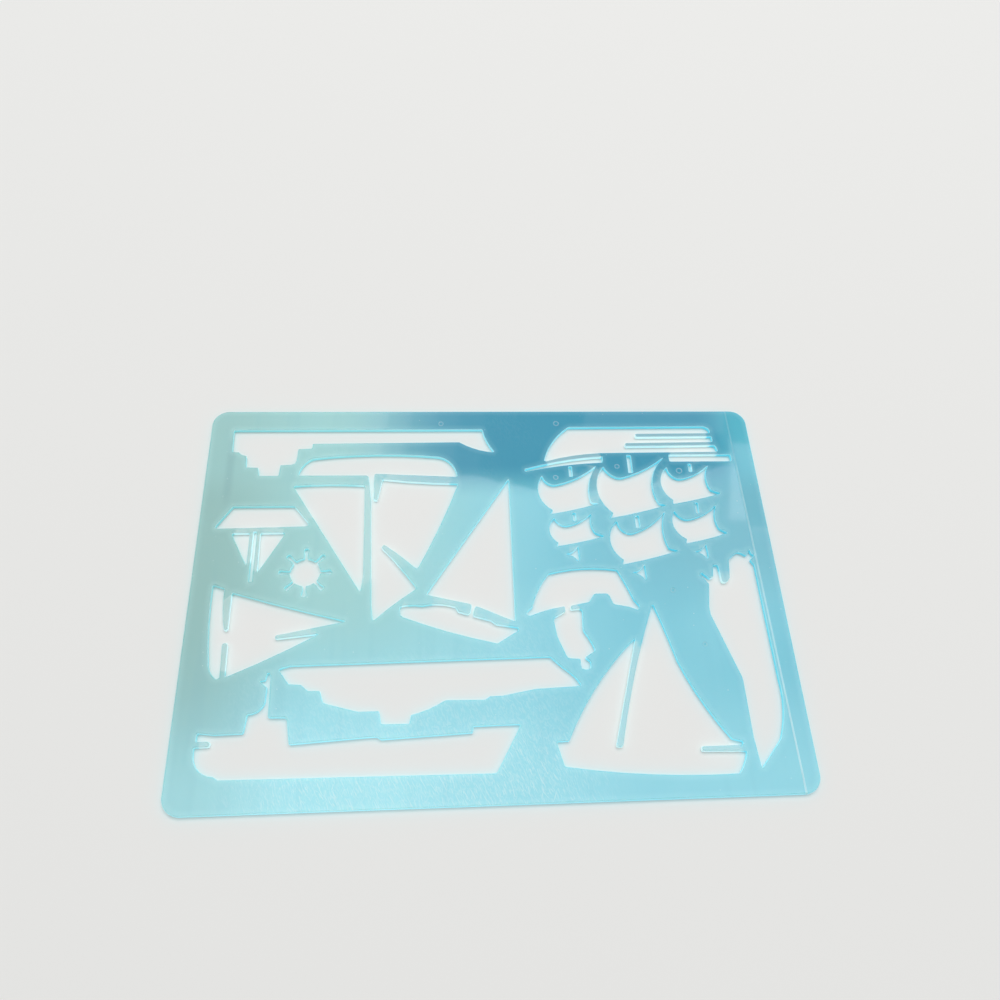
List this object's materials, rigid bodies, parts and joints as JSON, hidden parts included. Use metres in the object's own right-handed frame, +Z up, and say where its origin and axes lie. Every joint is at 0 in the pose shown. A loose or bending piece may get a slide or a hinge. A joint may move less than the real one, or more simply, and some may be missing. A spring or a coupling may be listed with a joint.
{
  "type": "drawing stencil",
  "caption": "Flat translucent plastic drawing stencil with round corners and outlines of ships and boats cut through it, for tracing with a pencil.",
  "frame": {"origin": "middle of the sheet's underside, on the paper that it lies on", "axes": "+X along the long side, +Y along the short side away from the draughtsperson, +Z up through the sheet's thickness"},
  "size_m": [0.21, 0.148, 0.0018],
  "materials": {
    "sheet": "translucent pale blue moulded polystyrene, glossy with fine handling scratches"
  },
  "bodies": {
    "root": {"stencil_sheet": "sheet"}
  },
  "joints": []
}
